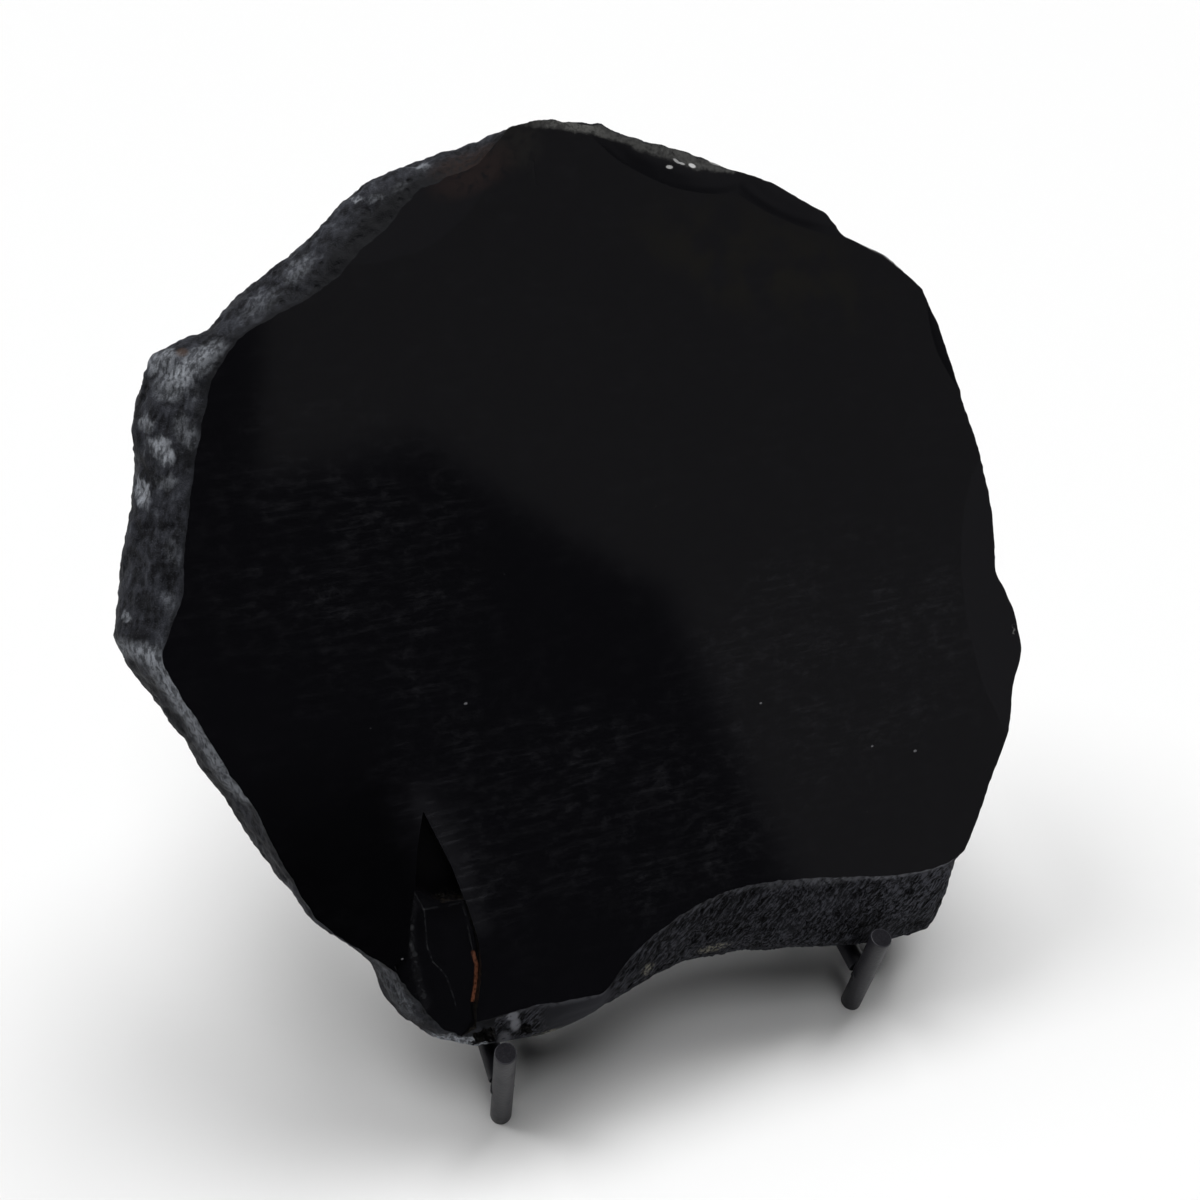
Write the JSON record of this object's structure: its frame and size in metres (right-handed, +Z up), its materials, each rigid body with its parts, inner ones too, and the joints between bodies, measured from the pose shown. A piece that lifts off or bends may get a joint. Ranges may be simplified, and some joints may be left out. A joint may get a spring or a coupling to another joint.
{
  "type": "obsidian slab",
  "caption": "Roundish slab of black obsidian with a polished face and a rough rind, leaning back on a welded stand of black round rod.",
  "frame": {"origin": "on the floor, under the middle of the whole object's box", "axes": "+X to the viewer's right along the front posts, +Y from the polished face towards the back of the stand, +Z up"},
  "size_m": [0.3334, 0.231, 0.2882],
  "materials": {
    "obsidian": "polished face, weathered grey rind and rough charcoal breaks",
    "black_rod": "satin black paint"
  },
  "bodies": {
    "root": {"obsidian_slab": "obsidian", "front_post_left": "black_rod", "front_post_right": "black_rod", "side_rail_left": "black_rod", "side_rail_right": "black_rod", "back_upright_left": "black_rod", "back_upright_right": "black_rod", "rear_leg_left": "black_rod", "rear_leg_right": "black_rod", "cross_bar_upper": "black_rod", "cross_bar_rear": "black_rod"}
  },
  "joints": []
}
